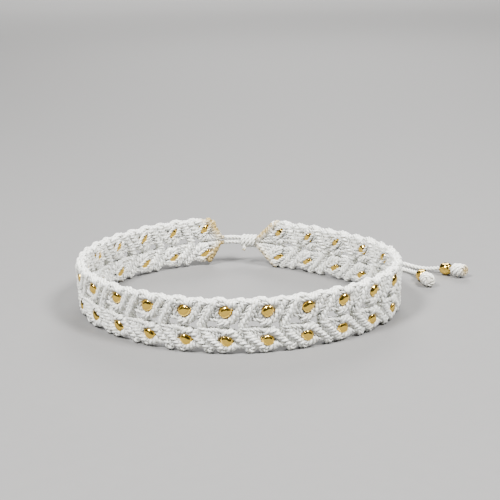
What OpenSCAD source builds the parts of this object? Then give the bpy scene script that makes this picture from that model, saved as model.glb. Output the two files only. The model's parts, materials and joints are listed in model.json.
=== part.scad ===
// Macrame bracelet: a band of white knotted cord, bent round into a wrist loop,
// with two rows of metal beads held in eyelets between its slanting ridges of knots.
// Two pull cords leave the band's left tip, run through the sliding knot that sits against
// its right tip, and lie behind the loop, each with one bead and an end knot.
// Millimetres. The loop's centre is the origin, it stands on z = 0 and its front is -Y.

/* [Loop] */
// Half the loop's width, from its centre to the middle of the wall
half_width = 29; // [28.8:0.1:29.2]
// Half the loop's depth, measured the same way
half_depth = 24.9; // [24.8:0.1:25.1]
// How far the wall leans outward for each millimetre of height
wall_lean = 0.04; // [0:0.01:0.06]
// How far the band's left tip is lifted off the table
tip_lift = 0.5; // [0:0.1:0.8]

/* [Band] */
// Height of the band
band_h = 10; // [9.6:0.1:10.4]
// Thickness of the band at the crest of a ridge of knots
band_t = 2.3; // [2.1:0.1:2.5]
// Open space between the band's two tips
tip_gap = 6.8; // [6.6:0.1:7]
// Share of that space that lies left of the loop's middle line
gap_share = 0.41; // [0.38:0.01:0.44]
// Distance from the left tip to the first bead
left_tip = 4; // [3.8:0.1:4.2]
// Distance from the last bead to the right tip
right_tip = 5.6; // [5.4:0.1:5.8]
// Sideways run of a ridge of knots for each millimetre away from the centre line
ridge_slope = 0.65; // [0.6:0.01:0.7]

/* [Beads] */
// Beads in each row
beads_per_row = 23; // [22:1:24]
// Diameter of a bead
bead_d = 2; // [1.8:0.05:2.1]
// Length of a bead along its hole
bead_len = 1.85; // [1.6:0.05:1.9]
// Diameter of the ball that rounds a bead's ends
bead_ball_d = 2.34; // [2.2:0.02:2.4]
// Diameter of the hole through a bead
bead_bore = 1; // [0.96:0.02:1.1]
// Distance of each bead row from the band's centre line
bead_rise = 2.58; // [2.5:0.02:2.66]
// Tilt of a bead's hole away from the band's length
bead_tilt = 45; // [30:5:60]

/* [Closure] */
// Diameter of a pull cord
cord_d = 0.9; // [0.8:0.02:0.92]
// Diameter of the sliding knot
slide_knot_d = 2.8; // [2.7:0.1:3]
// Diameter of a pull cord's end knot
end_knot_d = 2.7; // [2.4:0.1:2.8]
// Length of an end knot
end_knot_len = 3.1; // [3:0.1:3.4]

/* [Hidden] */

half_h = band_h / 2;
bead_clearance = 0.13;                // between a bead and the eyelet that holds it
eyelet_r = bead_ball_d / 2 + bead_clearance;
eyelet_step = eyelet_r * cos(45);     // half the side of the square inside that opening
tip_blunt = 0.9;                      // half the height of the band's blunt tips
lift_run = 25;                        // the left tip's lift dies away along this much of the band
wrap_count = 3;                       // wraps of cord that make the sliding knot
wrap_d = 0.9;
wrap_step = 0.97 * wrap_d;            // the wraps are pressed a little into each other
slide_knot_len = wrap_step * (wrap_count - 1) + wrap_d;
slide_core_d = slide_knot_d - 0.6 * wrap_d;
cord_clearance = 0.07;                // round each pull cord inside the sliding knot
knot_clearance = 0.1;                 // between the sliding knot and the band's right tip
knot_out = 1;                         // the sliding knot sits this far outside the wall's middle
cord_rise = 0.5;                      // the two pull cords pass this far above and below mid height
end_bead_gap = 0.3;                   // between a pull cord's bead and its end knot
end_knot_ball_d = 3.48;               // ball that rounds an end knot's rims

// The loop's outline is an ellipse with these slow waves in its radius:
// share of the radius, waves round the loop, phase in degrees
wave_table = [
    [-0.042, 2, 0],
    [0.018, 3, 90],
    [-0.012, 3, 0],
    [0.016, 4, 90]
];
loop_shift = [-0.6, -0.7];            // brings the middle of the finished loop to the origin
loop_steps = 360;

// One repeat of the band. Each row is a line of corners that runs along the ridges:
// distance from the bead, thickness share, notch in the top edge, notch in the bottom edge,
// top of the centre gap, bottom of the centre gap
repeat_table = [
    [-3.10, 0.75, 0.30, 0.10, 0.85, -0.30],
    [-1.70, 0.80, 0.12, 0.25, 0.75, -0.35],
    [-0.50, 0.85, 0.12, 0.30, 0.30, -0.35],
    [ 0.10, 1.00, 0.28, 0.25, 0.15, -0.30],
    [ 0.80, 0.85, 0.12, 0.05, 0.30, -0.20],
    [ 1.55, 0.62, 0.30, 0.15, 0.40, -0.40],
    [ 2.35, 1.00, 0.00, 0.10, 0.40, -0.40],
    [ 3.10, 0.70, 0.08, 0.00, 0.40, -0.40]
];
// The right end, where the lines of corners fan round into its tip: the same columns,
// then the sideways run for each millimetre away from the centre line
end_table = [
    [-3.10, 0.80, 0.30, 0.10, 0.85, -0.30, 0.65],
    [-1.70, 0.80, 0.12, 0.25, 0.75, -0.35, 0.40],
    [-0.50, 0.85, 0.12, 0.15, 0.30, -0.35, 0.25],
    [ 1.70, 0.80, 0.10, 0.05, 0.40, -0.40, -0.10],
    [ 3.10, 0.75, 0.05, 0.00, 0.40, -0.40, -0.35],
    [ 4.40, 0.65, 0.05, 0.00, 0.40, -0.40, -0.60]
];
tip_thickness = 0.5;                  // thickness share at both tips
left_slope = 0.72;                    // run of the left tip's slanting edges
right_slope = -1.02;                  // run of the right tip's slanting edges

// Lines of corners that run along the band: height from the centre line, thickness share
row_table = [
    [-half_h, 0.40],
    [-half_h + 0.6, 0.85],
    [-bead_rise - eyelet_step, 0.95],
    [-bead_rise, 0.90],
    [-bead_rise + eyelet_step, 0.95],
    [-0.4, 0.80],
    [0.4, 0.80],
    [bead_rise - eyelet_step, 0.95],
    [bead_rise, 0.90],
    [bead_rise + eyelet_step, 0.95],
    [half_h - 0.6, 0.85],
    [half_h, 0.40]
];
bottom_row = 0;
lower_bead_row = 3;
gap_row = 5;
upper_bead_row = 8;
top_row = 11;
bead_column = 1;                      // place of the bead's own line in a repeat
gap_columns = 4;                      // the centre gap spans this many cells of a repeat

// Pull cords, from the left tip through the sliding knot to the end knot, chosen by hand
long_route = [
    [-3.2, 25.1, 5.8], [-2.1, 25.6, 5.7], [-1.0, 25.9, 5.6], [0.2, 25.9, 5.5],
    [4.0, 25.1, 5.5], [6.2, 24.7, 5.4], [8.4, 24.4, 5.2], [10.6, 24.1, 4.8],
    [12.8, 23.8, 4.3], [15.0, 23.5, 3.7], [17.2, 23.2, 3.0], [19.4, 22.8, 2.4],
    [21.6, 22.3, 1.9], [23.8, 21.8, 1.6], [26.0, 21.3, 1.4], [28.2, 20.8, 1.3],
    [30.4, 20.2, 1.3], [32.6, 19.7, 1.3], [34.6, 19.1, 1.0], [36.6, 18.3, 0.6],
    [38.4, 17.5, 0.5], [40.0, 16.4, 0.8], [41.3, 15.4, 1.2], [43.3, 13.9, 1.4]
];
short_route = [
    [-3.2, 25.1, 4.8], [-2.1, 25.6, 4.7], [-1.0, 25.9, 4.6], [0.2, 25.9, 4.5],
    [4.0, 25.1, 4.5], [6.2, 24.6, 4.4], [8.4, 24.1, 4.1], [10.6, 23.6, 3.6],
    [12.8, 23.1, 3.0], [15.0, 22.6, 2.3], [17.2, 22.1, 1.6], [19.4, 21.6, 1.0],
    [21.6, 21.1, 0.6], [23.8, 20.6, 0.5], [26.0, 20.1, 0.5], [28.2, 19.6, 0.5],
    [30.4, 19.0, 0.5], [32.5, 18.2, 0.5], [34.3, 16.9, 0.5], [35.6, 15.1, 0.6],
    [36.2, 13.3, 0.9], [36.5, 11.7, 1.3], [37.0, 9.3, 1.4]
];
cord_sides = 8;

function wobble(t) = 1 + [for (w = wave_table) w[0] * sin(w[1] * t + w[2])] * [for (w = wave_table) 1];
function loop_at(t) = loop_shift + wobble(t) * [half_width * cos(t), half_depth * sin(t)];

// Distance along the loop against its angle, from the middle of the back round by the front
function step_angle(i) = 90 + 360 * i / loop_steps;
loop_table = [
    for (i = 0, s = 0; i <= loop_steps;
         s = s + norm(loop_at(step_angle(i + 1)) - loop_at(step_angle(i))), i = i + 1)
        [s, step_angle(i)]
];
loop_length = loop_table[loop_steps][0];

function loop_way(s) =
    let (t = lookup(s, loop_table), d = loop_at(t + 0.5) - loop_at(t - 0.5)) d / norm(d);
function heading(s) = let (d = loop_way(s)) atan2(d.y, d.x);

left_end = tip_gap * gap_share;
right_end = loop_length - tip_gap * (1 - gap_share);
first_bead = left_end + left_tip;
last_bead = right_end - right_tip;
pitch = (last_bead - first_bead) / (beads_per_row - 1);
function bead_at(i) = first_bead + i * pitch;

// Lift of the band's left end
function lift_at(s) = tip_lift * pow(max(0, 1 - max(0, s - left_end) / lift_run), 2);

// A place on the band: distance along it, height above its centre line, distance outside its middle
function on_band(s, rise, out) =
    let (d = loop_way(s), p = loop_at(lookup(s, loop_table)), lean = out + wall_lean * rise)
    [p.x + d.y * lean, p.y - d.x * lean, half_h + rise + lift_at(s)];

// Corners of the band, column by column. A column is:
// distance along the band, place in its repeat, slope, blunt half height, its row of the table
columns = concat(
    [[left_end, -1, left_slope, tip_blunt, [0, tip_thickness, 0.1, 0.1, tip_blunt, -tip_blunt]]],
    [for (i = [0 : beads_per_row - 2], j = [0 : len(repeat_table) - 1])
        [bead_at(i) + repeat_table[j][0], j, ridge_slope, 0, repeat_table[j]]],
    [for (j = [0 : len(end_table) - 1])
        [last_bead + end_table[j][0], j < 3 ? j : -1, end_table[j][6], 0, end_table[j]]],
    [[right_end, -1, right_slope, tip_blunt, [0, tip_thickness, 0.1, 0, tip_blunt, -tip_blunt]]]
);
row_count = len(row_table);
column_count = len(columns);

function row_rise(c, r) =
    let (extra = columns[c][4])
    r == bottom_row ? row_table[r][0] + extra[3]
    : r == top_row ? row_table[r][0] - extra[2]
    : r == gap_row ? extra[5]
    : r == gap_row + 1 ? extra[4]
    : row_table[r][0];

// Steps from the bead in columns and rows, or undef away from an eyelet
function eyelet_step_of(c, r) =
    let (dx = columns[c][1] - bead_column,
         dz = r > gap_row ? r - upper_bead_row : r - lower_bead_row)
    columns[c][1] >= 0 && abs(dx) <= 1 && abs(dz) <= 1 ? [dx, dz] : undef;

function corner(c, r, side) =
    let (col = columns[c], e = eyelet_step_of(c, r),
         round_off = e == undef ? 1 : (abs(e.x) + abs(e.y) == 2 ? cos(45) : 1),
         rise = e == undef ? row_rise(c, r)
             : (r > gap_row ? bead_rise : -bead_rise) + e.y * eyelet_r * round_off,
         s = e == undef ? col[0] + col[2] * max(0, abs(rise) - col[3])
             : col[0] - col[4][0] + e.x * eyelet_r * round_off)
    on_band(s, rise, side * band_t / 2 * col[4][1] * row_table[r][1]);

// Cells left open: the centre gap and the eyelets
function is_open(c, r) =
    c < 0 || c > column_count - 2 || r < 0 || r > row_count - 2 ? true
    : let (j = columns[c][1], last = columns[c + 1][1] < 0)
    j < 0 || (last && j > 1) ? false
    : r == gap_row ? j < gap_columns
    : j < 2 && ((r >= lower_bead_row - 1 && r <= lower_bead_row)
        || (r >= upper_bead_row - 1 && r <= upper_bead_row));

function outer(c, r) = c * row_count + r;
function inner(c, r) = (column_count + c) * row_count + r;
function split(a, b, c, d) = [[a, b, c], [a, c, d]];

band_faces = [
    for (c = [0 : column_count - 2], r = [0 : row_count - 2])
        if (!is_open(c, r))
            each concat(
                split(outer(c, r), outer(c, r + 1), outer(c + 1, r + 1), outer(c + 1, r)),
                split(inner(c + 1, r), inner(c + 1, r + 1), inner(c, r + 1), inner(c, r)),
                is_open(c, r - 1)
                    ? split(outer(c, r), outer(c + 1, r), inner(c + 1, r), inner(c, r)) : [],
                is_open(c, r + 1)
                    ? split(outer(c + 1, r + 1), outer(c, r + 1), inner(c, r + 1), inner(c + 1, r + 1))
                    : [],
                is_open(c - 1, r)
                    ? split(outer(c, r + 1), outer(c, r), inner(c, r), inner(c, r + 1)) : [],
                is_open(c + 1, r)
                    ? split(outer(c + 1, r), outer(c + 1, r + 1), inner(c + 1, r + 1), inner(c + 1, r))
                    : [])
];

module along_band(s, rise, out) {
    translate(on_band(s, rise, out)) rotate([0, 0, heading(s)]) children();
}

// A bead: a short cylinder with ball-rounded ends, drilled along X
module bead() {
    rotate([0, 90, 0]) difference() {
        intersection() {
            cylinder(h = bead_len, d = bead_d, center = true, $fn = 48);
            sphere(d = bead_ball_d, $fn = 48);
        }
        cylinder(h = bead_len + 1, d = bead_bore, center = true, $fn = 32);
    }
}

// A row of beads, each with its hole slanting along the knots on its side of the centre line
module bead_row(side) {
    for (i = [0 : beads_per_row - 1])
        along_band(bead_at(i), side * bead_rise, 0) rotate([0, -side * bead_tilt, 0]) bead();
}

module band() {
    color("ivory") polyhedron(
        points = [for (side = [1, -1], c = [0 : column_count - 1], r = [0 : row_count - 1])
            corner(c, r, side)],
        faces = band_faces,
        convexity = 10);
}

module upper_beads() {
    color("gold") bead_row(1);
}

module lower_beads() {
    color("gold") bead_row(-1);
}

// Wraps of cord round a core, with a hole for each pull cord
module sliding_knot() {
    color("ivory") along_band(right_end + knot_clearance + slide_knot_len / 2, 0, knot_out)
        rotate([0, 90, 0]) difference() {
            union() {
                for (i = [0 : wrap_count - 1])
                    translate([0, 0, (i - (wrap_count - 1) / 2) * wrap_step])
                        rotate_extrude($fn = 48)
                            translate([slide_knot_d / 2 - wrap_d / 2, 0]) circle(d = wrap_d, $fn = 24);
                cylinder(h = slide_knot_len - wrap_d / 3, d = slide_core_d, center = true, $fn = 48);
            }
            for (side = [-1, 1])
                translate([side * cord_rise, 0, 0])
                    cylinder(h = slide_knot_len + 1, d = cord_d + 2 * cord_clearance, center = true, $fn = 32);
        }
}

// Tube round a route, one ring of corners at each of its points
module cord_tube(route) {
    last = len(route) - 1;
    rings = [
        for (i = [0 : last])
            let (way = route[min(i + 1, last)] - route[max(i - 1, 0)],
                 side = cross(way, [0, 0, 1]) / norm(cross(way, [0, 0, 1])),
                 up = cross(side, way) / norm(way))
            for (k = [0 : cord_sides - 1])
                let (a = 360 * (k + 0.5) / cord_sides)
                route[i] + cord_d / 2 * (cos(a) * side + sin(a) * up)
    ];
    polyhedron(
        points = rings,
        faces = concat(
            [[for (k = [cord_sides - 1 : -1 : 0]) k]],
            [for (i = [0 : last - 1], k = [0 : cord_sides - 1])
                let (a = i * cord_sides, b = a + cord_sides, n = (k + 1) % cord_sides)
                each [[a + k, a + n, b + n], [a + k, b + n, b + k]]],
            [[for (k = [0 : cord_sides - 1]) last * cord_sides + k]]),
        convexity = 6);
}

// Turns +X along the route's last stretch and stands what follows at a distance past its end
module past_end(route, distance) {
    last = len(route) - 1;
    way = (route[last] - route[last - 1]) / norm(route[last] - route[last - 1]);
    translate(route[last] + distance * way)
        rotate([0, -asin(way.z), atan2(way.y, way.x)]) children();
}

// A pull cord's end: a fat knot with round ends, face to face with the cord
module end_knot(route) {
    color("ivory") past_end(route, end_knot_len / 2) rotate([0, 90, 0]) intersection() {
        cylinder(h = end_knot_len, d = end_knot_d, center = true, $fn = 48);
        sphere(d = end_knot_ball_d, $fn = 48);
    }
}

module long_pull_cord() {
    color("ivory") cord_tube(long_route);
}

module long_cord_bead() {
    color("gold") past_end(long_route, -bead_len / 2 - end_bead_gap) bead();
}

module long_cord_knot() {
    end_knot(long_route);
}

module short_pull_cord() {
    color("ivory") cord_tube(short_route);
}

module short_cord_bead() {
    color("gold") past_end(short_route, -bead_len / 2 - end_bead_gap) bead();
}

module short_cord_knot() {
    end_knot(short_route);
}

band();
upper_beads();
lower_beads();
sliding_knot();
long_pull_cord();
long_cord_bead();
long_cord_knot();
short_pull_cord();
short_cord_bead();
short_cord_knot();
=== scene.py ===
import json
import math

import bpy
import numpy as np
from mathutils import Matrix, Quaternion, Vector

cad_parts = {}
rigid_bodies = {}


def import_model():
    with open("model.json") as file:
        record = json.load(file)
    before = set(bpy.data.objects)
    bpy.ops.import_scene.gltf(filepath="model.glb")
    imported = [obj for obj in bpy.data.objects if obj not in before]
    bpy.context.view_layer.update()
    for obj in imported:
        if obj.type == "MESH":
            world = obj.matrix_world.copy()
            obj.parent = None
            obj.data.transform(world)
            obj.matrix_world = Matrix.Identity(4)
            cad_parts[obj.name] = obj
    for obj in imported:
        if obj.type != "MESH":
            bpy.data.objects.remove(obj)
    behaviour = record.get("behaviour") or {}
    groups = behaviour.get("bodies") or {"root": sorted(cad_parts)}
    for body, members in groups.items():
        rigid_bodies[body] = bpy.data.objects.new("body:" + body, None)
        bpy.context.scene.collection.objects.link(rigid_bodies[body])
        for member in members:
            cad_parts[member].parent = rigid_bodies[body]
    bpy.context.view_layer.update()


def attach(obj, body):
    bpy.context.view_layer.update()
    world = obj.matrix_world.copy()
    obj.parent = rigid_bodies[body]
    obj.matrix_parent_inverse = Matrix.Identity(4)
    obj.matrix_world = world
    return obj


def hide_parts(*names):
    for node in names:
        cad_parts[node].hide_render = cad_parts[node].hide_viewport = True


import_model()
scene = bpy.context.scene
mm = 0.001    # sizes are in millimetres where no note says otherwise, and objects are in metres

# The camera stands where the photo was taken from, in front of the loop and a little above it
cameraSettings = {
    "target": (2.26, 19.78, 4.5),    # the point that it looks at
    "distance": 227.92,
    "elevation": 16.81,      # degrees above the floor
    "roll": -1.06,           # degrees, because the photo leans a little
    "lens": 78.8,
    "sensor": 36.0,
    "clip": (0.01, 5.0),     # the nearest and the farthest that it sees, in metres
}


def makeCamera():
    s = cameraSettings
    data = bpy.data.cameras.new("camera")
    data.lens = s["lens"]
    data.sensor_width = s["sensor"]
    data.clip_start, data.clip_end = s["clip"]
    camera = bpy.data.objects.new("camera", data)
    scene.collection.objects.link(camera)
    rise = math.radians(s["elevation"])
    back = Vector((0, -math.cos(rise), math.sin(rise)))
    camera.location = (Vector(s["target"]) + back * s["distance"]) * mm
    camera.rotation_mode = "QUATERNION"
    camera.rotation_quaternion = ((-back).to_track_quat("-Z", "Y")
                                  @ Quaternion((0, 0, 1), math.radians(s["roll"])))
    scene.camera = camera


makeCamera()
print("camera done")

# Every cord is three strands twisted together: a strand's section by angle and share of the radius
cord = {
    "diameter": 0.9,
    "lay": 2.4,              # length of cord in which its strands turn once
    "strands": 3,
    "strandSection": ((-30, 0.93), (0, 1.0), (30, 0.93), (60, 0.55)),    # its top is the second point
    "routeSteps": 12,        # places worked out between two points of a cord's route
}
strandTurn = 360 / cord["strands"]
cordSection = [(math.radians(i * strandTurn + angle), share)
               for i in range(cord["strands"]) for angle, share in cord["strandSection"]]


def unit(v):
    return v / np.linalg.norm(v, axis=-1, keepdims=True)


# A smooth curve through the points, sampled about every step
def smoothPath(points, step):
    p = np.array(points, float)
    p = np.vstack([2 * p[0] - p[1], p, 2 * p[-1] - p[-2]])
    t = np.linspace(0, 1, cord["routeSteps"], endpoint=False)[:, None]
    fine = [(2 * b + (c - a) * t + (2 * a - 5 * b + 4 * c - d) * t ** 2
             + (3 * b - 3 * c + d - a) * t ** 3) / 2
            for a, b, c, d in zip(p[:-3], p[1:-2], p[2:-1], p[3:])]
    fine = np.vstack(fine + [p[-2][None]])
    along = np.concatenate([[0], np.cumsum(np.linalg.norm(np.diff(fine, axis=0), axis=1))])
    at = np.linspace(0, along[-1], max(3, round(along[-1] / step) + 1))
    return np.stack([np.interp(at, along, fine[:, k]) for k in range(3)], axis=1)


# Collects twisted cords and makes them one mesh
class CordMesh:
    def __init__(self):
        self.points, self.faces, self.uvs, self.singes = [], [], [], []
        self.count = 0

    # The radius may be a pair: along the side and square to it
    def sweep(self, path, radius, side, closed=False, start=0.0, scale=None, singe=None, lay=cord["lay"]):
        path = np.array(path, float)
        n = len(path)
        if closed:
            tangent = unit(np.roll(path, -1, 0) - np.roll(path, 1, 0))
            steps = np.linalg.norm(np.roll(path, -1, 0) - path, axis=1)
        else:
            tangent = unit(np.gradient(path, axis=0))
            steps = np.linalg.norm(np.diff(path, axis=0), axis=1)
        along = np.concatenate([[0], np.cumsum(steps)])
        thirds = round(along[-1] / lay * cord["strands"])
        turns = thirds / cord["strands"] if closed else along[-1] / lay
        across = unit(np.array(side) - (tangent @ np.array(side))[:, None] * tangent)
        up = np.cross(tangent, across)
        share = along[:n] / along[-1]
        angle = (np.array([a for a, r in cordSection])[None, :]
                 + (start + 2 * math.pi * turns * share)[:, None])
        wide, deep = radius if isinstance(radius, tuple) else (radius, radius)
        size = np.ones(n) if scale is None else scale(share)
        ring = size[:, None] * np.array([r for a, r in cordSection])[None, :]
        points = (path[:, None, :] + (wide * ring * np.cos(angle))[:, :, None] * across[:, None, :]
                  + (deep * ring * np.sin(angle))[:, :, None] * up[:, None, :]).reshape(-1, 3)
        self.points.append(points)
        self.singes.append(np.zeros(len(points)) if singe is None else singe(points))
        sides = len(cordSection)
        first = self.count
        self.count += len(points)
        for i in range(n if closed else n - 1):
            # where a ring closes, its strands meet those that they have turned round to
            j = (i + 1) % n
            shift = thirds * sides // cord["strands"] if j == 0 else 0
            for k in range(sides):
                m = k + 1
                self.faces.append((first + i * sides + k, first + i * sides + m % sides,
                                   first + j * sides + (m + shift) % sides,
                                   first + j * sides + (k + shift) % sides))
                a, b = along[i] / cord["lay"], along[i + 1] / cord["lay"]
                self.uvs += [(a, k / sides), (a, m / sides), (b, m / sides), (b, k / sides)]
        if not closed:
            for row, flip in ((0, True), (n - 1, False)):
                loop = [first + row * sides + k for k in range(sides)]
                self.faces.append(tuple(reversed(loop)) if flip else tuple(loop))
                self.uvs += [(along[row] / cord["lay"], k / sides) for k in range(sides)]

    def makeObject(self, name):
        mesh = bpy.data.meshes.new(name)
        mesh.from_pydata((np.vstack(self.points) * mm).tolist(), [], self.faces)
        mesh.uv_layers.new(name="UVMap").data.foreach_set("uv", np.array(self.uvs, np.float32).ravel())
        singe = mesh.attributes.new("singe", "FLOAT", "POINT")
        singe.data.foreach_set("value", np.concatenate(self.singes).astype(np.float32))
        mesh.polygons.foreach_set("use_smooth", [True] * len(mesh.polygons))
        mesh.update()
        made = bpy.data.objects.new(name, mesh)
        scene.collection.objects.link(made)
        return made


# The two pull cords follow the routes of the solid ones, point for point
pullCords = {
    "step": 0.2,             # from one ring of a cord's mesh to the next
    "longRoute": (
        (-3.2, 25.1, 5.8), (-2.1, 25.6, 5.7), (-1.0, 25.9, 5.6), (0.2, 25.9, 5.5),
        (4.0, 25.1, 5.5), (6.2, 24.7, 5.4), (8.4, 24.4, 5.2), (10.6, 24.1, 4.8),
        (12.8, 23.8, 4.3), (15.0, 23.5, 3.7), (17.2, 23.2, 3.0), (19.4, 22.8, 2.4),
        (21.6, 22.3, 1.9), (23.8, 21.8, 1.6), (26.0, 21.3, 1.4), (28.2, 20.8, 1.3),
        (30.4, 20.2, 1.3), (32.6, 19.7, 1.3), (34.6, 19.1, 1.0), (36.6, 18.3, 0.6),
        (38.4, 17.5, 0.5), (40.0, 16.4, 0.8), (41.3, 15.4, 1.2), (43.3, 13.9, 1.4)),
    "shortRoute": (
        (-3.2, 25.1, 4.8), (-2.1, 25.6, 4.7), (-1.0, 25.9, 4.6), (0.2, 25.9, 4.5),
        (4.0, 25.1, 4.5), (6.2, 24.6, 4.4), (8.4, 24.1, 4.1), (10.6, 23.6, 3.6),
        (12.8, 23.1, 3.0), (15.0, 22.6, 2.3), (17.2, 22.1, 1.6), (19.4, 21.6, 1.0),
        (21.6, 21.1, 0.6), (23.8, 20.6, 0.5), (26.0, 20.1, 0.5), (28.2, 19.6, 0.5),
        (30.4, 19.0, 0.5), (32.5, 18.2, 0.5), (34.3, 16.9, 0.5), (35.6, 15.1, 0.6),
        (36.2, 13.3, 0.9), (36.5, 11.7, 1.3), (37.0, 9.3, 1.4)),
}


def makePullCord(name, route):
    path = smoothPath(route, pullCords["step"])
    made = CordMesh()
    made.sweep(path, cord["diameter"] / 2, (0, 0, 1))
    return made.makeObject(name), path


longCord, longPath = makePullCord("long_cord", pullCords["longRoute"])
shortCord, shortPath = makePullCord("short_cord", pullCords["shortRoute"])
print("pull cords done")

# The loop's outline is an ellipse with slow waves in its radius, as in the solid band. It starts at the
# back and goes round by the left.
loop = {
    "halfWidth": 29.0,       # to the middle of the wall
    "halfDepth": 24.9,
    # share of the radius, waves in a turn, and their shift in degrees
    "waves": ((-0.042, 2, 0), (0.018, 3, 90), (-0.012, 3, 0), (0.016, 4, 90)),
    "shift": (-0.6, -0.7),   # of the ellipse's middle
    "steps": 720,            # points of the outline
    "lean": 0.04,            # the wall leans outward this much for each millimetre of height
    "tipLift": 0.5,          # the left tip is lifted off the floor
    "liftRun": 25.0,         # the lift dies away along this much of the band
    "halfHeight": 5.0,       # the centre line's height above the floor
    "tipGap": 6.8,           # between the two tips, along the loop
    "gapShare": 0.41,        # the share of it that lies left of the middle of the back
}


def loopPoint(t):
    wobble = 1 + sum(share * math.sin(math.radians(waves * t + phase))
                     for share, waves, phase in loop["waves"])
    return (loop["shift"][0] + wobble * loop["halfWidth"] * math.cos(math.radians(t)),
            loop["shift"][1] + wobble * loop["halfDepth"] * math.sin(math.radians(t)))


loopLine = np.array([loopPoint(90 + 360 * i / loop["steps"]) for i in range(loop["steps"] + 1)])
loopAlong = np.concatenate([[0], np.cumsum(np.linalg.norm(np.diff(loopLine, axis=0), axis=1))])
leftEnd = loop["tipGap"] * loop["gapShare"]
rightEnd = loopAlong[-1] - loop["tipGap"] * (1 - loop["gapShare"])
upper, lower = 1, -1    # the two halves of the band, and their sides of its centre line

beads = {
    "perRow": 23,
    "leftTip": 4.0,          # from the left tip to the first bead
    "rightTip": 5.6,         # from the last bead to the right tip
    "rise": 2.58,            # each row's distance from the centre line
    "lowerDrop": 0.12,       # the lower row hangs this much lower in its eyelets
    "diameter": 2.22,        # at its middle, where there is no flat
    "endDiameter": 1.58,     # at its two ends
    "length": 1.96,          # along its hole
    "bore": 0.9,
    "flats": 2.02,           # distance between opposite ones of the four small flats round the hole
    "edge": 0.08,            # the hole's edge is cut back this much
    "tilt": 45.0,            # of its hole, in degrees
    "sides": 48,
    "arcSteps": 6,           # from its middle to one end
    "variants": 4,           # beads that differ a little, picked at random for each place
    "placeUneven": 0.03,     # hand-made unevenness of its place
    "tiltUneven": 0.05,      # and of its hole's direction
}
firstBead = leftEnd + beads["leftTip"]
lastBead = rightEnd - beads["rightTip"]
pitch = (lastBead - firstBead) / (beads["perRow"] - 1)


def makeLoopCurve():
    curve = bpy.data.curves.new("loop_line", "CURVE")
    curve.dimensions = "3D"
    spline = curve.splines.new("POLY")
    spline.points.add(len(loopLine) - 1)
    for point, (x, y) in zip(spline.points, loopLine):
        point.co = (x * mm, y * mm, 0, 1)
    made = bpy.data.objects.new("loop_line", curve)
    scene.collection.objects.link(made)
    return made


loopCurve = makeLoopCurve()


# Makes nodes with their inputs set in one call. A value that is a socket is linked.
def addNode(tree, kind, inputs=None, **settings):
    node = tree.nodes.new(kind)
    for name, value in settings.items():
        setattr(node, name, value)
    for key, value in (inputs or {}).items():
        socket = node.inputs[key] if isinstance(key, int) else next(
            s for s in node.inputs if s.name == key and s.enabled)
        if isinstance(value, bpy.types.NodeSocket):
            tree.links.new(value, socket)
        else:
            socket.default_value = value
    return node


def mathOf(tree, operation, a, b=0.0):
    return addNode(tree, "ShaderNodeMath", {0: a, 1: b}, operation=operation).outputs[0]


def vectorOf(tree, operation, a, b=None, scale=None):
    inputs = {0: a}
    if b is not None:
        inputs[1] = b
    if scale is not None:
        inputs["Scale"] = scale
    return addNode(tree, "ShaderNodeVectorMath", inputs, operation=operation).outputs[0]


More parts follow.
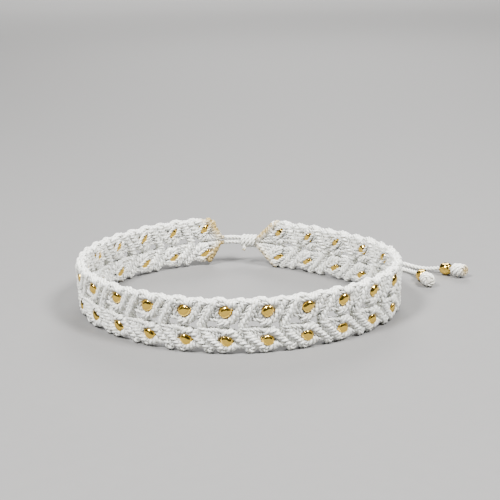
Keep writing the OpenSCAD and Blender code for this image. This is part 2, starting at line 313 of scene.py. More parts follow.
# Geometry Nodes: repeats a flat cell along the band, adds the flat ends, and bends all of it round the
# loop. Flat X is the distance along the loop, Y points to the wrist and Z is the height from the centre
# line.
def makeBandTree():
    tree = bpy.data.node_groups.new("bendRoundLoop", "GeometryNodeTree")
    sockets = {}
    for name, kind in (("Ends", "NodeSocketGeometry"), ("Cells", "NodeSocketCollection"),
                       ("Loop", "NodeSocketObject"), ("Count", "NodeSocketInt"),
                       ("First", "NodeSocketFloat"), ("Pitch", "NodeSocketFloat"),
                       ("Half Height", "NodeSocketFloat"), ("Lean", "NodeSocketFloat"),
                       ("Tip Lift", "NodeSocketFloat"), ("Lift Start", "NodeSocketFloat"),
                       ("Lift Run", "NodeSocketFloat"), ("Unevenness", "NodeSocketFloat"),
                       ("Unevenness Size", "NodeSocketFloat"), ("Seed", "NodeSocketInt"),
                       ("Material", "NodeSocketMaterial")):
        sockets[name] = tree.interface.new_socket(name, in_out="INPUT", socket_type=kind).identifier
    tree.interface.new_socket("Geometry", in_out="OUTPUT", socket_type="NodeSocketGeometry")
    given = addNode(tree, "NodeGroupInput").outputs

    firstPlace = addNode(tree, "ShaderNodeCombineXYZ", {"X": given["First"]}).outputs[0]
    pitchStep = addNode(tree, "ShaderNodeCombineXYZ", {"X": given["Pitch"]}).outputs[0]
    line = addNode(tree, "GeometryNodeMeshLine",
                   {"Count": given["Count"], "Start Location": firstPlace,
                    "Offset": pitchStep}).outputs[0]
    cells = addNode(tree, "GeometryNodeCollectionInfo",
                    {"Collection": given["Cells"], "Separate Children": True, "Reset Children": True})
    # the number picked runs on past the last cell and begins again at the first
    pick = addNode(tree, "FunctionNodeRandomValue", {"Min": 0, "Max": 99, "Seed": given["Seed"]},
                   data_type="INT")
    picked = next(s for s in pick.outputs if s.enabled)
    repeated = addNode(tree, "GeometryNodeInstanceOnPoints",
                       {"Points": line, "Instance": cells.outputs[0], "Pick Instance": True,
                        "Instance Index": picked})
    real = addNode(tree, "GeometryNodeRealizeInstances", {"Geometry": repeated.outputs[0]})
    joined = addNode(tree, "GeometryNodeJoinGeometry")
    tree.links.new(real.outputs[0], joined.inputs[0])
    tree.links.new(given["Ends"], joined.inputs[0])

    flat = addNode(tree, "GeometryNodeInputPosition").outputs[0]
    noise = addNode(tree, "ShaderNodeTexNoise",
                    {"Vector": flat, "Scale": mathOf(tree, "DIVIDE", 1.0, given["Unevenness Size"]),
                     "W": given["Seed"], "Detail": 1.0}, noise_dimensions="4D")
    away = vectorOf(tree, "SUBTRACT", noise.outputs["Color"], (0.5, 0.5, 0.5))
    moved = addNode(tree, "GeometryNodeSetPosition",
                    {"Geometry": joined.outputs[0],
                     "Offset": vectorOf(tree, "SCALE", away, scale=given["Unevenness"])})

    position = addNode(tree, "GeometryNodeInputPosition").outputs[0]
    place = addNode(tree, "ShaderNodeSeparateXYZ", {0: position}).outputs
    bendTo = addNode(tree, "GeometryNodeObjectInfo", {"Object": given["Loop"]}).outputs["Geometry"]
    sample = addNode(tree, "GeometryNodeSampleCurve", {"Curves": bendTo, "Length": place[0]}, mode="LENGTH")
    way = vectorOf(tree, "NORMALIZE", sample.outputs["Tangent"])
    inward = vectorOf(tree, "CROSS_PRODUCT", (0, 0, 1), way)
    depth = mathOf(tree, "SUBTRACT", place[1], mathOf(tree, "MULTIPLY", given["Lean"], place[2]))
    passed = mathOf(tree, "MAXIMUM", mathOf(tree, "SUBTRACT", place[0], given["Lift Start"]), 0.0)
    share = mathOf(tree, "SUBTRACT", 1.0, mathOf(tree, "DIVIDE", passed, given["Lift Run"]))
    fading = mathOf(tree, "POWER", mathOf(tree, "MAXIMUM", share, 0.0), 2.0)
    lift = mathOf(tree, "MULTIPLY", fading, given["Tip Lift"])
    height = mathOf(tree, "ADD", mathOf(tree, "ADD", place[2], given["Half Height"]), lift)
    upright = addNode(tree, "ShaderNodeCombineXYZ", {"Z": height}).outputs[0]
    offset = vectorOf(tree, "ADD", vectorOf(tree, "SCALE", inward, scale=depth), upright)
    bent = addNode(tree, "GeometryNodeSetPosition",
                   {"Geometry": moved.outputs[0],
                    "Position": vectorOf(tree, "ADD", sample.outputs["Position"], offset)})
    smooth = addNode(tree, "GeometryNodeSetShadeSmooth", {"Geometry": bent.outputs[0]})
    finished = addNode(tree, "GeometryNodeSetMaterial",
                       {"Geometry": smooth.outputs[0], "Material": given["Material"]})
    result = addNode(tree, "NodeGroupOutput")
    tree.links.new(finished.outputs[0], result.inputs[0])
    return tree, sockets


bandTree, bandSockets = makeBandTree()


# The band's cords stray a little from their places, as hand-made ones do
straying = {
    "reach": 0.3,            # from the farthest one way to the farthest the other way
    "size": 4.0,             # length over which it changes
}


# Runs the tree on flat ends and cells, and keeps the result as a plain mesh
def bendOnLoop(name, ends, cells, reach, seed, material):
    source = ends.makeObject(name + "_flat")
    group = bpy.data.collections.new(name + "_cells")
    for i, cell in enumerate(cells):
        made = cell.makeObject(f"{name}_cell_{i}")
        scene.collection.objects.unlink(made)
        group.objects.link(made)
    modifier = source.modifiers.new("bend", "NODES")
    modifier.node_group = bandTree
    values = {
        "Cells": group, "Loop": loopCurve, "Count": beads["perRow"] - 1, "First": firstBead * mm,
        "Pitch": pitch * mm, "Half Height": loop["halfHeight"] * mm, "Lean": loop["lean"],
        "Tip Lift": loop["tipLift"] * mm, "Lift Start": leftEnd * mm, "Lift Run": loop["liftRun"] * mm,
        "Unevenness": reach * mm, "Unevenness Size": straying["size"] * mm, "Seed": seed,
        "Material": material,
    }
    for key, value in values.items():
        modifier[bandSockets[key]] = value
    bpy.context.view_layer.update()
    mesh = bpy.data.meshes.new_from_object(source.evaluated_get(bpy.context.evaluated_depsgraph_get()))
    mesh.name = name
    made = bpy.data.objects.new(name, mesh)
    scene.collection.objects.link(made)
    for part in [source, *group.objects]:
        bpy.data.objects.remove(part)
    bpy.data.collections.remove(group)
    return made


# How every ridge of double half hitches is wrapped
knots = {
    "lineStep": 0.04,        # from one point of a ridge's line to the next
    "lineReach": 2,          # its direction is taken between two points this many to either side
    "wrapDeep": 0.38,        # half thickness of a wrap's cord
    "wrapSteps": 18,         # points of a wrap
    "wrapStart": 0.05,       # radians from a wrap's side to its first point
    "square": 0.8,           # 1 for round wraps, less for wraps with flatter fronts
    "wrapLay": 0.85,         # the twist is this much shorter in a wrap
    "coreInside": 0.2,       # a ridge's body lies this far inside the tops of its wraps
    "coreStep": 0.4,         # from one ring of the body's mesh to the next
    "coreEvery": 4,          # the body takes one of this many points of the ridge's line
    "coreTip": 0.45,         # its thickness at its ends, as a share of the middle's
    "coreTaper": 6.0,        # how fast it grows from there, for the ridge's whole length
    "cordStep": 0.25,        # from one ring of any other cord's mesh to the next
    # hand-made unevenness of each wrap: its place, slant in degrees, width, and twist in radians
    "uneven": 0.025,
    "slantUneven": 2.5,
    "widthUneven": 0.05,
    "twistUneven": 0.3,
    "variants": 3,           # repeats that differ a little, picked at random for each place
}
# The ridges of one repeat: number of wraps, how wide a wrap is pressed, half width, half depth, slant of
# the wraps to the line in degrees, and the line that they follow: distance past the bead, height from
# the centre line. In the lower half the height is counted downwards.
upperKnots = (
    (7, 0.66, 0.5, 0.64, 74,
     ((-1.1, 0.72), (0.1, 0.68), (1.2, 1.3), (1.95, 2.35), (2.45, 3.35), (2.9, 4.2))),
    (7, 0.68, 0.5, 0.76, 74,
     ((2.7, -0.2), (3.1, 0.8), (3.75, 1.9), (4.4, 3.0), (4.95, 3.85), (5.35, 4.35))),
    (2, 0.6, 0.4, 0.6, 110, ((7.5, 3.95), (8.1, 4.0), (8.7, 4.1))),
)
lowerKnots = (
    (6, 0.68, 0.5, 0.64, 90,
     ((-0.65, 1.15), (0.7, 1.2), (1.7, 1.85), (2.5, 2.7), (3.3, 3.5), (3.85, 4.0))),
    (7, 0.68, 0.48, 0.74, 90,
     ((2.7, 0.2), (3.4, 1.2), (4.2, 2.2), (5.1, 3.2), (5.85, 3.8), (6.2, 4.0))),
    (3, 0.62, 0.4, 0.65, 75, ((7.15, 3.95), (7.9, 3.8), (8.55, 3.4))),
)
# Cords between the ridges and loops at the edge: radius, depths towards the wrist, and line
upperBetween = (
    (0.4, (-0.4, 0.4), ((2.3, 1.4), (2.9, 2.1), (3.5, 2.9), (4.0, 3.8), (4.3, 4.4))),
    (0.42, (-0.4, 0.4), ((2.9, 4.0), (3.6, 4.25), (4.3, 4.25), (4.9, 4.0))),
    (0.42, (-0.35, 0.35), ((1.5, 3.9), (1.8, 4.4), (2.4, 4.6), (3.0, 4.45), (3.3, 4.0))),
    (0.44, (-0.35, 0.35), ((4.9, 4.0), (5.3, 4.5), (6.0, 4.68), (6.7, 4.5), (7.2, 4.1), (7.5, 3.7))),
)
lowerBetween = (
    (0.44, (-0.35, 0.35), ((1.2, 3.5), (2.2, 3.7), (3.4, 3.8), (5.0, 3.9), (6.8, 3.95), (8.3, 3.7))),
    (0.4, (-0.4, 0.4), ((2.3, 1.0), (3.0, 1.9), (3.7, 2.7), (4.5, 3.6), (5.1, 4.2))),
    (0.52, (-0.4, 0.35), ((3.05, 3.3), (3.3, 3.9), (3.65, 4.35), (4.15, 4.46), (4.5, 4.1), (4.6, 3.5))),
    (0.52, (-0.4, 0.35), ((5.35, 3.5), (5.6, 4.1), (5.95, 4.4), (6.4, 4.48), (6.75, 4.15), (6.8, 3.6))),
    (0.46, (-0.35, 0.35), ((7.1, 3.5), (7.35, 3.95), (7.8, 4.15), (8.3, 4.0), (8.6, 3.5))),
)
# Cords round a bead, written in the same way. The last two of each half pass behind it.
upperRound = (
    (0.42, (-0.35, 0.35), ((-2.7, 1.35), (-2.0, 1.15), (-1.2, 1.12), (-0.4, 1.2))),
    (0.42, (-0.3, 0.3), ((-2.5, 2.4), (-2.0, 2.0), (-1.4, 1.7), (-0.8, 1.6))),
    (0.42, (-0.35, 0.35), ((-1.1, 1.5), (-1.45, 2.1), (-1.45, 2.9), (-1.05, 3.6), (-0.4, 3.95))),
    (0.42, (-0.3, 0.3), ((-2.2, 2.9), (-2.1, 3.5), (-1.7, 4.0))),
    (0.4, (-0.3, 0.3), ((1.1, 3.7), (1.5, 3.3), (1.55, 2.6))),
    (0.42, (-0.45, 0.45), ((-1.8, 3.3), (-1.3, 3.85), (-0.5, 4.05), (0.4, 4.0), (1.1, 3.7))),
    (0.38, (0.8,), ((-0.4, 3.9), (0.35, 3.3), (1.0, 2.5), (1.5, 1.7))),
    (0.38, (0.8,), ((-1.5, 3.4), (-0.95, 2.6), (-0.3, 1.9), (0.4, 1.2))),
)
lowerRound = (
    (0.42, (-0.35, 0.35),
     ((-3.3, 0.75), (-2.4, 0.7), (-1.4, 0.78), (-0.5, 0.82), (0.4, 0.8), (1.2, 0.95))),
    (0.42, (-0.3, 0.3), ((-2.9, 1.1), (-2.1, 1.7), (-1.5, 2.5))),
    (0.42, (-0.3, 0.3), ((-2.1, 1.0), (-1.5, 1.5), (-1.0, 1.8))),
    (0.4, (-0.3, 0.3), ((-1.5, 3.2), (-0.9, 3.9), (0, 4.1), (0.9, 3.9), (1.6, 3.2))),
    (0.38, (0.8,), ((-1.6, 2.5), (-0.8, 3.0), (0, 3.5), (0.8, 3.9))),
    (0.38, (0.8,), ((-0.8, 1.3), (0, 1.8), (0.8, 2.3), (1.6, 2.8))),
)
# The cord that goes through the bead's hole, at its tilt of 45 degrees
threadCord = tuple((x, beads["rise"] + x) for x in (-1.0, 0, 1.0))
threadRadius = 0.4
# The two tips, measured from the first and from the last bead
leftKnots = (
    (6, 0.6, 0.45, 0.66, 71, ((-3.05, 0.3), (-2.65, 1.2), (-1.95, 2.5), (-1.1, 3.75), (-0.6, 4.3))),
)
leftCords = {upper: ((0.44, (0,), ((-2.3, 0.55), (-3.0, 0.45), (-3.6, 0.36), (-4.15, 0.3))),),
             lower: ((0.44, (0,), ((-2.3, 0.75), (-3.0, 0.72), (-3.6, 0.7), (-4.15, 0.7))),)}
leftBetween = ((0.42, (-0.35, 0.35), ((-2.6, 0.62), (-1.6, 0.6), (-0.6, 0.6), (0.4, 0.6), (1.3, 0.7))),)
rightKnots = (
    (5, 0.65, 0.5, 0.64, 74, ((-1.0, 0.8), (0.65, 1.0), (1.5, 1.65), (1.9, 2.5), (1.8, 3.2))),
    (7, 0.6, 0.45, 0.7, 71, ((0.3, 4.4), (1.2, 4.0), (2.5, 2.8), (3.6, 1.7), (4.7, 0.55))),
)
rightBetween = (
    (0.42, (-0.35, 0.35), ((0.9, 0.7), (1.9, 0.55), (3.2, 0.45), (5.2, 0.4))),
    (0.42, (-0.35, 0.35), ((1.2, 1.4), (2.2, 1.2), (3.4, 1.0), (4.4, 0.8))),
    (0.42, (-0.35, 0.35), ((1.7, 2.3), (2.5, 1.9), (3.3, 1.6))),
)


# The lower half mirrors the upper one, but its cords are twisted the same way
def wrapRidge(made, ridge, half, shift, random, singe=None):
    count, wide, halfWidth, halfDepth, slant, line = ridge
    path = smoothPath([(x + shift, 0, z * half) for x, z in line], knots["lineStep"])
    uneven, near = knots["uneven"], knots["lineReach"]
    start = random.uniform(0, 2 * math.pi)
    for i in range(count):
        at = min(max((i + 0.5 + random.normal(0, uneven)) / count, 0), 1) * (len(path) - 1)
        row = int(at)
        centre = path[row] + random.normal(0, uneven, 3)
        way = path[min(row + near, len(path) - 1)] - path[max(row - near, 0)]
        leaning = slant + random.normal(0, knots["slantUneven"])
        turn = math.atan2(way[2], way[0]) + half * math.radians(leaning)
        side = np.array((math.cos(turn), 0, math.sin(turn)))
        width = halfWidth * (1 + random.normal(0, knots["widthUneven"]))
        depth = halfDepth * (1 + random.normal(0, uneven))
        phi = np.linspace(0, 2 * math.pi, knots["wrapSteps"], endpoint=False)[:, None]
        phi = phi + knots["wrapStart"]
        across, out = (np.sign(v) * np.abs(v) ** knots["square"] for v in (np.cos(phi), np.sin(phi)))
        ring = centre + width * across * side + depth * out * np.array((0, 1, 0))
        made.sweep(ring, (wide, knots["wrapDeep"]), (-side[2], 0, side[0]), closed=True,
                   start=start + random.normal(0, knots["twistUneven"]), singe=singe,
                   lay=knots["wrapLay"] * cord["lay"])
    tip, taper = knots["coreTip"], knots["coreTaper"]
    reach = knots["wrapDeep"] - knots["coreInside"]
    coreWidth = halfWidth * abs(math.sin(math.radians(slant))) + reach
    core = smoothPath(path[::knots["coreEvery"]], knots["coreStep"])
    made.sweep(core, (halfDepth + reach, coreWidth), (0, 1, 0), singe=singe,
               scale=lambda share: np.minimum(1, tip + taper * np.minimum(share, 1 - share)))


def layCords(made, cords, half, shift, random, singe=None):
    for radius, depths, line in cords:
        for y in depths:
            path = smoothPath([(x + shift, y, z * half) for x, z in line], knots["cordStep"])
            made.sweep(path + random.normal(0, knots["uneven"], 3), radius, (0, 1, 0),
                       start=random.uniform(0, 2 * math.pi), singe=singe)


# Melted, tan cord along the slanting edges of the two tips
singes = {
    "leftReach": 2.8,            # how far it goes into the band
    "leftSlope": 0.72,           # of the edge, away from upright
    "leftShare": (0.75, 1.1),    # how dark it is in the upper and in the lower half
    "rightReach": 2.6,
    "rightSlope": 1.02,
    "rightShare": (0.7, 0.6),
    "blunt": 0.9,                # half the height of a tip's blunt end
    "centre": 0.3,               # the share of it that is there at the centre line
    "outward": 0.4,              # what each millimetre from there adds to that share
}


def singeAt(points, inside, side):
    s = singes
    height = points[:, 2]
    inside = inside - s[side + "Slope"] * np.maximum(0, np.abs(height) - s["blunt"])
    share = np.where(height > 0, *s[side + "Share"])
    share = share * np.clip(s["centre"] + s["outward"] * np.abs(height), 0, 1)
    return share * np.clip(1 - inside / s[side + "Reach"], 0, 1)


def leftSinge(points):
    return singeAt(points, points[:, 0] - leftEnd, "left")


def rightSinge(points):
    return singeAt(points, rightEnd - points[:, 0], "right")


def makeRidges(name, half, ridges, seed, material):
    random = np.random.default_rng(seed)
    cells = []
    for variant in range(knots["variants"]):
        cell = CordMesh()
        for ridge in ridges:
            wrapRidge(cell, ridge, half, 0, random)
        cells.append(cell)
    ends = CordMesh()
    for ridge in leftKnots:
        wrapRidge(ends, ridge, half, firstBead, random, leftSinge)
    # a repeat's short ridge lies past its second bead, so the one past the first bead is added here
    wrapRidge(ends, ridges[-1], half, firstBead - pitch, random, leftSinge)
    for ridge in rightKnots:
        wrapRidge(ends, ridge, half, lastBead, random, rightSinge)
    return bendOnLoop(name, ends, cells, straying["reach"], seed, material)


def makeCords(name, half, between, roundBead, seed, material):
    random = np.random.default_rng(seed)
    roundBead += ((threadRadius, (0,), threadCord),)
    cells = []
    for variant in range(knots["variants"]):
        cell = CordMesh()
        layCords(cell, between, half, 0, random)
        layCords(cell, roundBead, half, pitch, random)
        cells.append(cell)
    ends = CordMesh()
    layCords(ends, roundBead, half, firstBead, random, leftSinge)
    layCords(ends, leftCords[half], half, firstBead, random, leftSinge)
    layCords(ends, leftBetween, half, firstBead, random, leftSinge)
    layCords(ends, rightBetween, half, lastBead, random, rightSinge)
    return bendOnLoop(name, ends, cells, straying["reach"], seed, material)


# A bead's outline from one end to the other: place along its hole, distance from it
def beadOutline():
    half = beads["length"] / 2
    bore = beads["bore"] / 2
    edge = beads["edge"]
    middle = beads["diameter"] / 2
    drop = middle - beads["endDiameter"] / 2
    bulge = (half ** 2 + drop ** 2) / (2 * drop)
    right = [(x, middle - bulge + math.sqrt(bulge ** 2 - x ** 2))
             for x in np.linspace(0, half, beads["arcSteps"] + 1)]
    right += [(half, bore + edge), (half - edge, bore)]
    return [(-x, y) for x, y in reversed(right)] + right[1:]


def beadMesh(centre, axis, random, size=1.0):
    made = CordMesh()
    outline = [(size * x, size * y) for x, y in beadOutline()]
    axis = unit(np.array(axis) + random.normal(0, beads["tiltUneven"], 3))
    across = unit(np.cross(axis, (0, 1, 0)))
    up = np.cross(axis, across)
    a = np.linspace(0, 2 * math.pi, beads["sides"], endpoint=False)[:, None]
    around = np.cos(a) * across + np.sin(a) * up
    flats = size * beads["flats"] / 2 / np.maximum(np.abs(np.cos(a)), np.abs(np.sin(a)))
    points = np.vstack([centre + x * axis + np.minimum(y, flats) * around for x, y in outline])
    sides, rows = beads["sides"], len(outline)
    made.points.append(points)
    made.singes.append(np.zeros(len(points)))
    for i in range(rows):
        j = (i + 1) % rows
        for k in range(sides):
            m = (k + 1) % sides
            made.faces.append((i * sides + k, i * sides + m, j * sides + m, j * sides + k))
            made.uvs += [(i / rows, k / sides), (i / rows, (k + 1) / sides),
                         ((i + 1) / rows, (k + 1) / sides), ((i + 1) / rows, k / sides)]
    return made


def makeBeadRow(name, half, seed, material):
    random = np.random.default_rng(seed)
    tilt = math.radians(beads["tilt"])
    axis = (math.cos(tilt), 0, half * math.sin(tilt))
    centre = np.array((0, 0, beads["rise"] if half == upper else -beads["rise"] - beads["lowerDrop"]))
    cells = [beadMesh(centre + random.normal(0, beads["placeUneven"], 3), axis, random)
             for variant in range(beads["variants"])]
    last = beadMesh(centre + np.array((lastBead, 0, 0)), axis, random)
    return bendOnLoop(name, last, cells, 0.0, seed, material)


# Sizes of a material's patterns are repeats in a metre, and depths are in metres
cordLook = {
    "white": (0.9, 0.9, 0.86),
    "shade": (0.82, 0.82, 0.77),    # in slow patches
    "shadeRepeats": 260.0,
    "creaseShade": (0.5, 0.49, 0.41),    # painted shade in the creases between the strands
    "creaseShadePower": 2.5,      # more makes the painted shade narrower
    "tan": (0.42, 0.3, 0.1),        # where the cord was melted
    "tanRepeats": 900.0,
    "tanGain": 3.2,          # more makes its patches fuller
    "roughness": 0.28,
    "sheen": 0.15,
    "sheenRoughness": 0.4,
    "subsurface": 0.05,
    "subsurfaceRadius": (1.0, 0.9, 0.75),    # of red, green and blue, as shares of the depth
    "subsurfaceDepth": 0.0006,
    "yarns": 3,              # in each strand
    "yarnShare": 1.6,        # of the bump
    "fibreShare": 0.5,
    "fibres": (14.0, 60.0, 0.0),    # repeats in one turn of the twist, and round the cord
    "bump": 0.6,
    "bumpDepth": 0.00006,
}
goldLook = {
    "color": (0.88, 0.58, 0.1),
    "roughness": 0.14,
    "wearRepeats": 1500.0,
    "bump": 0.1,
    "bumpDepth": 0.00004,
}


def newMaterial(name):
    material = bpy.data.materials.new(name)
    material.use_nodes = True
    shader = material.node_tree.nodes["Principled BSDF"]
    return material, material.node_tree, shader


def makeCordMaterial():
    s = cordLook
    material, tree, shader = newMaterial("twisted_white_cord")
    shader.inputs["Roughness"].default_value = s["roughness"]
    shader.inputs["Sheen Weight"].default_value = s["sheen"]
    shader.inputs["Sheen Roughness"].default_value = s["sheenRoughness"]
    shader.inputs["Subsurface Weight"].default_value = s["subsurface"]
    shader.inputs["Subsurface Radius"].default_value = s["subsurfaceRadius"]
    shader.inputs["Subsurface Scale"].default_value = s["subsurfaceDepth"]
    place = addNode(tree, "ShaderNodeTexCoord").outputs["Object"]
    slow = addNode(tree, "ShaderNodeTexNoise",
                   {"Vector": place, "Scale": s["shadeRepeats"], "Detail": 2.0}).outputs[0]
    white = addNode(tree, "ShaderNodeMix", {"Factor": slow, 6: (*s["white"], 1), 7: (*s["shade"], 1)},
                    data_type="RGBA").outputs[2]
    along = addNode(tree, "ShaderNodeUVMap", uv_map="UVMap").outputs[0]
    across = addNode(tree, "ShaderNodeSeparateXYZ", {0: along}).outputs[1]
    # a strand's top is the second point of its section, and a crease lies halfway between two tops. The
    # colour is darkened towards each crease as painted shade.
    top = 1 / len(cord["strandSection"])
    strand = mathOf(tree, "SUBTRACT", mathOf(tree, "MULTIPLY", across, cord["strands"]), top)
    fromTop = mathOf(tree, "MULTIPLY", mathOf(tree, "PINGPONG", strand, 0.5), 2.0)
    creaseShade = mathOf(tree, "POWER", fromTop, s["creaseShadePower"])
    # painted shade: the white is mixed towards a darker grey in the creases between the strands
    white = addNode(tree, "ShaderNodeMix", {"Factor": creaseShade, 6: white, 7: (*s["creaseShade"], 1)},
                    data_type="RGBA").outputs[2]
    patches = addNode(tree, "ShaderNodeTexNoise",
                      {"Vector": place, "Scale": s["tanRepeats"], "Detail": 2.0}).outputs[0]
    singe = addNode(tree, "ShaderNodeAttribute", attribute_name="singe").outputs["Fac"]
    burnt = mathOf(tree, "MULTIPLY", singe, mathOf(tree, "MULTIPLY", patches, s["tanGain"]))
    burnt = addNode(tree, "ShaderNodeClamp", {0: burnt}).outputs[0]
    color = addNode(tree, "ShaderNodeMix", {"Factor": burnt, 6: white, 7: (*s["tan"], 1)},
                    data_type="RGBA").outputs[2]
    tree.links.new(color, shader.inputs["Base Color"])
    fibres = addNode(tree, "ShaderNodeTexNoise",
                     {"Vector": vectorOf(tree, "MULTIPLY", along, s["fibres"]), "Scale": 1.0,
                      "Detail": 3.0}).outputs[0]
    yarn = mathOf(tree, "PINGPONG", mathOf(tree, "MULTIPLY", across, cord["strands"] * s["yarns"]), 0.5)
    height = mathOf(tree, "ADD", mathOf(tree, "MULTIPLY", yarn, s["yarnShare"]),
                    mathOf(tree, "MULTIPLY", fibres, s["fibreShare"]))
    bump = addNode(tree, "ShaderNodeBump",
                   {"Strength": s["bump"], "Distance": s["bumpDepth"], "Height": height})
    tree.links.new(bump.outputs[0], shader.inputs["Normal"])
    return material


def makeGoldMaterial():
    s = goldLook
    material, tree, shader = newMaterial("polished_gold")
    shader.inputs["Base Color"].default_value = (*s["color"], 1)
    shader.inputs["Metallic"].default_value = 1.0
    place = addNode(tree, "ShaderNodeTexCoord").outputs["Object"]
    wear = addNode(tree, "ShaderNodeTexNoise",
                   {"Vector": place, "Scale": s["wearRepeats"], "Detail": 3.0}).outputs[0]
    # the noise is about a half on average
    rough = mathOf(tree, "MULTIPLY", wear, 2 * s["roughness"])
    tree.links.new(rough, shader.inputs["Roughness"])
    bump = addNode(tree, "ShaderNodeBump",
                   {"Strength": s["bump"], "Distance": s["bumpDepth"], "Height": wear})
    tree.links.new(bump.outputs[0], shader.inputs["Normal"])
    return material


cordMaterial = makeCordMaterial()
goldMaterial = makeGoldMaterial()

upperRidges = makeRidges("upper_ridges", upper, upperKnots, seed=11, material=cordMaterial)
lowerRidges = makeRidges("lower_ridges", lower, lowerKnots, seed=23, material=cordMaterial)
upperCords = makeCords("upper_cords", upper, upperBetween, upperRound, seed=37, material=cordMaterial)
lowerCords = makeCords("lower_cords", lower, lowerBetween, lowerRound, seed=41, material=cordMaterial)
print("band done")
upperBeads = makeBeadRow("upper_bead_row", upper, seed=5, material=goldMaterial)
lowerBeads = makeBeadRow("lower_bead_row", lower, seed=9, material=goldMaterial)
print("beads done")

# The sliding knot
slider = {
    "wraps": 4,
    "wrapDiameter": 0.9,
    "press": 0.9,            # the wraps are pressed a little into each other
    "diameter": 2.9,
    "clearance": -0.3,       # less than nothing, because it is drawn a little over the right tip
    "out": 1.0,              # how far outside the wall's middle it lies
    "sag": 0.15,             # how far it lies below the centre line
    "tilt": 8,               # of each wrap, in degrees
    "twist": 2.1,            # radians that the twist moves on from wrap to wrap
    "cutEnd": ((0, -0.9, -0.6), (0, -1.15, -1.2), (-0.1, -1.2, -1.75)),
    "cutRadius": 0.38,
    "cutStep": 0.15,
    "cutMelt": 1.1,          # the cut end is melted from this far below the knot's middle
}
# What is on the end of each pull cord
cordEnds = {
    "knotEnd": 3.1,          # from a pull cord's end to the far end of its knot
    "knotLength": 2.8,
    "knotDiameter": 2.75,
    "knotSlant": 17,         # of its three passes, in degrees
    "passWide": 0.58,        # half width of a pass
    "passShrink": 0.08,      # the outer two are smaller by this share
    "twist": 1.7,            # radians that the twist moves on from pass to pass
    "core": (-0.46, 0.5),    # its body's two ends, as shares of its length
    "coreSteps": 16,
    "coreInside": 0.25,
    "coreTip": 0.5,          # its thickness at its ends, as a share of the middle's
    "coreTaper": 3.0,
    "melt": 0.8,             # length of the melted end
    "longMelt": 0.6,         # how dark it is, on the longer and on the shorter pull cord
    "shortMelt": 0.15,
    "beadGap": 0.3,
    "beadScale": 1.12,       # the two end beads are a little larger
    "beadSeed": 3,
}
ringSteps = 40    # points of a ring of cord


def ringOfCord(made, centre, axis, major, minor, tilt, start, singe=None):
    axis = unit(np.array(axis, float))
    across = unit(np.cross(axis, (0.0, 0.0, 1.0)))
    up = np.cross(across, axis)
    lean = math.radians(tilt)
    normal = math.cos(lean) * axis + math.sin(lean) * across
    across = np.cross(up, normal)
    phi = np.linspace(0, 2 * math.pi, ringSteps, endpoint=False)[:, None]
    ring = centre + major * (np.cos(phi) * across + np.sin(phi) * up)
    made.sweep(ring, minor, tuple(normal), closed=True, start=start, singe=singe)


# The place at this distance along the loop, and the loop's direction there
def loopPlace(along, out, z):
    near = 0.1    # the direction is taken between two places this far to either side
    x, y = (np.interp(along, loopAlong, loopLine[:, k]) for k in range(2))
    way = unit(np.array([np.interp(along + near, loopAlong, loopLine[:, k])
                         - np.interp(along - near, loopAlong, loopLine[:, k]) for k in range(2)]))
    return np.array((x + way[1] * out, y - way[0] * out, z)), np.array((way[0], way[1], 0))


def makeSlidingKnot():
    s = slider
    step = s["press"] * s["wrapDiameter"]
    length = step * (s["wraps"] - 1) + s["wrapDiameter"]
    along = rightEnd + s["clearance"] + length / 2
    centre, axis = loopPlace(along, s["out"], loop["halfHeight"] - s["sag"])
    made = CordMesh()
    for i in range(s["wraps"]):
        at = centre + (i - (s["wraps"] - 1) / 2) * step * axis
        ringOfCord(made, at, axis, (s["diameter"] - s["wrapDiameter"]) / 2, s["wrapDiameter"] / 2,
                   s["tilt"], i * s["twist"])
    # its cut and melted end points down
    start = centre + (s["wraps"] - 1) / 2 * step * axis
    route = smoothPath([start + np.array(d) for d in s["cutEnd"]], s["cutStep"])
    made.sweep(route, s["cutRadius"], (0, 1, 0),
               singe=lambda points: np.clip(start[2] - s["cutMelt"] - points[:, 2], 0, 1))
    return made.makeObject("sliding_knot_wraps")


def makeEndKnot(name, path, melted):
    s = cordEnds
    axis = unit(path[-1] - path[-2])
    centre = path[-1] + (s["knotEnd"] - s["knotLength"] / 2) * axis
    minor = cord["diameter"] / 2
    major = s["knotDiameter"] / 2 - minor

    def singe(points):
        return melted * np.clip((points - centre) @ axis - s["knotLength"] / 2 + s["melt"], 0, 1)

    made = CordMesh()
    for i in (-1, 0, 1):
        at = centre + i * (s["knotLength"] / 2 - s["passWide"]) * axis
        ringOfCord(made, at, axis, major * (1 - s["passShrink"] * abs(i)), (s["passWide"], minor),
                   s["knotSlant"], i * s["twist"], singe)
    tip, taper = s["coreTip"], s["coreTaper"]
    core = np.linspace(*s["core"], s["coreSteps"])[:, None] * s["knotLength"] * axis + centre
    made.sweep(core, s["knotDiameter"] / 2 - s["coreInside"], (0, 0, 1), singe=singe,
               scale=lambda share: np.minimum(1, tip + taper * np.minimum(share, 1 - share)))
    return made.makeObject(name)


def makeEndBead(name, path):
    s = cordEnds
    axis = unit(path[-1] - path[-2])
    centre = path[-1] - (beads["length"] / 2 + s["beadGap"]) * axis
    random = np.random.default_rng(s["beadSeed"])
    return beadMesh(centre, axis, random, s["beadScale"]).makeObject(name)


slidingKnot = makeSlidingKnot()
longKnot = makeEndKnot("long_end_knot", longPath, cordEnds["longMelt"])
shortKnot = makeEndKnot("short_end_knot", shortPath, cordEnds["shortMelt"])
longBead = makeEndBead("long_end_bead", longPath)
shortBead = makeEndBead("short_end_bead", shortPath)
print("closure done")

for piece in (longCord, shortCord, slidingKnot, longKnot, shortKnot):
    piece.data.materials.append(cordMaterial)
for piece in (longBead, shortBead):
    piece.data.materials.append(goldMaterial)

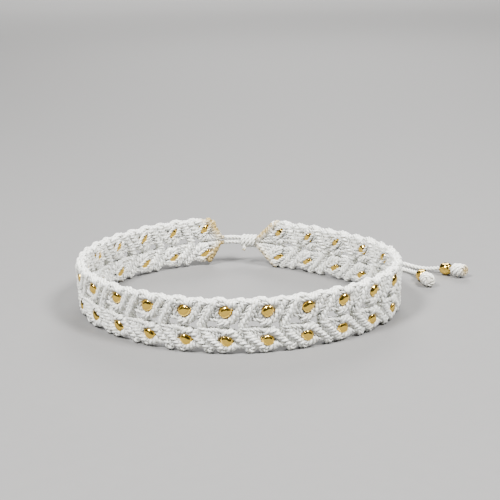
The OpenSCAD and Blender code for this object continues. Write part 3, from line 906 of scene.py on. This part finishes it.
# Each piece, the solid nodes that it stands for, and its material slot
standsFor = (
    (upperRidges, ("band",), "white_cord"),
    (lowerRidges, ("band",), "white_cord"),
    (upperCords, ("band",), "white_cord"),
    (lowerCords, ("band",), "white_cord"),
    (upperBeads, ("upper_beads",), "gold_bead"),
    (lowerBeads, ("lower_beads",), "gold_bead"),
    (slidingKnot, ("sliding_knot",), "white_cord"),
    (longCord, ("long_pull_cord",), "white_cord"),
    (shortCord, ("short_pull_cord",), "white_cord"),
    (longKnot, ("long_cord_knot",), "white_cord"),
    (shortKnot, ("short_cord_knot",), "white_cord"),
    (longBead, ("long_cord_bead",), "gold_bead"),
    (shortBead, ("short_cord_bead",), "gold_bead"),
)
for piece, nodes, slot in standsFor:
    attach(piece, "root")
    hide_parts(*nodes)


def declareCord(piece, path):
    length = float(np.linalg.norm(np.diff(path, axis=0), axis=1).sum()) * mm


declareCord(longCord, longPath)
declareCord(shortCord, shortPath)

bpy.data.objects.remove(loopCurve)

# Floor and light, in metres
studio = {
    "floorColor": (0.158, 0.155, 0.151),
    "floorSize": 3.0,
    "floorRoughness": 0.8,
    "grain": (0.97, 1.03),   # darkest and lightest, as shares of the floor's colour
    "grainRepeats": 400.0,
    "world": (0.55, 0.57, 0.6),
    "worldStrength": 0.1,
    # place, size and power in watts
    "lights": (
        ((-0.22, -0.2, 0.44), 0.12, 8.2),
        ((0.24, -0.14, 0.4), 0.12, 6.2),
        ((0.05, 0.42, 0.32), 0.25, 3.6),
    ),
    # four more shine straight down on the floor around, and not on the bracelet
    "floorLights": {"away": 1.0, "height": 0.8, "size": 0.9, "power": 12.0, "spread": 60.0},
}


def addLight(place, size, power, aim):
    data = bpy.data.lights.new("light", "AREA")
    data.size = size
    data.energy = power
    light = bpy.data.objects.new("light", data)
    scene.collection.objects.link(light)
    light.location = place
    light.rotation_mode = "QUATERNION"
    light.rotation_quaternion = aim.to_track_quat("-Z", "Y")
    return light


def makeStudio():
    s = studio
    bpy.ops.mesh.primitive_plane_add(size=s["floorSize"])
    floor = bpy.context.object
    floor.name = "floor"
    material, tree, shader = newMaterial("floor_paper")
    shader.inputs["Roughness"].default_value = s["floorRoughness"]
    place = addNode(tree, "ShaderNodeTexCoord").outputs["Object"]
    grain = addNode(tree, "ShaderNodeTexNoise",
                    {"Vector": place, "Scale": s["grainRepeats"], "Detail": 3.0}).outputs[0]
    dark, light = (tuple(share * c for c in s["floorColor"]) for share in s["grain"])
    color = addNode(tree, "ShaderNodeMix", {"Factor": grain, 6: (*dark, 1), 7: (*light, 1)},
                    data_type="RGBA").outputs[2]
    tree.links.new(color, shader.inputs["Base Color"])
    floor.data.materials.append(material)
    for place, size, power in s["lights"]:
        addLight(place, size, power, -Vector(place))
    around = s["floorLights"]
    for turn in (0, 90, 180, 270):
        place = (around["away"] * math.cos(math.radians(turn)),
                 around["away"] * math.sin(math.radians(turn)), around["height"])
        light = addLight(place, around["size"], around["power"], Vector((0, 0, -1)))
        light.data.spread = math.radians(around["spread"])
    world = bpy.data.worlds.new("studio")
    world.use_nodes = True
    background = world.node_tree.nodes["Background"]
    background.inputs["Color"].default_value = (*s["world"], 1)
    background.inputs["Strength"].default_value = s["worldStrength"]
    scene.world = world


makeStudio()
print("studio done")

for piece, nodes, slot in standsFor:
    piece.data.calc_loop_triangles()
    print(piece.name, len(piece.data.loop_triangles), "triangles")
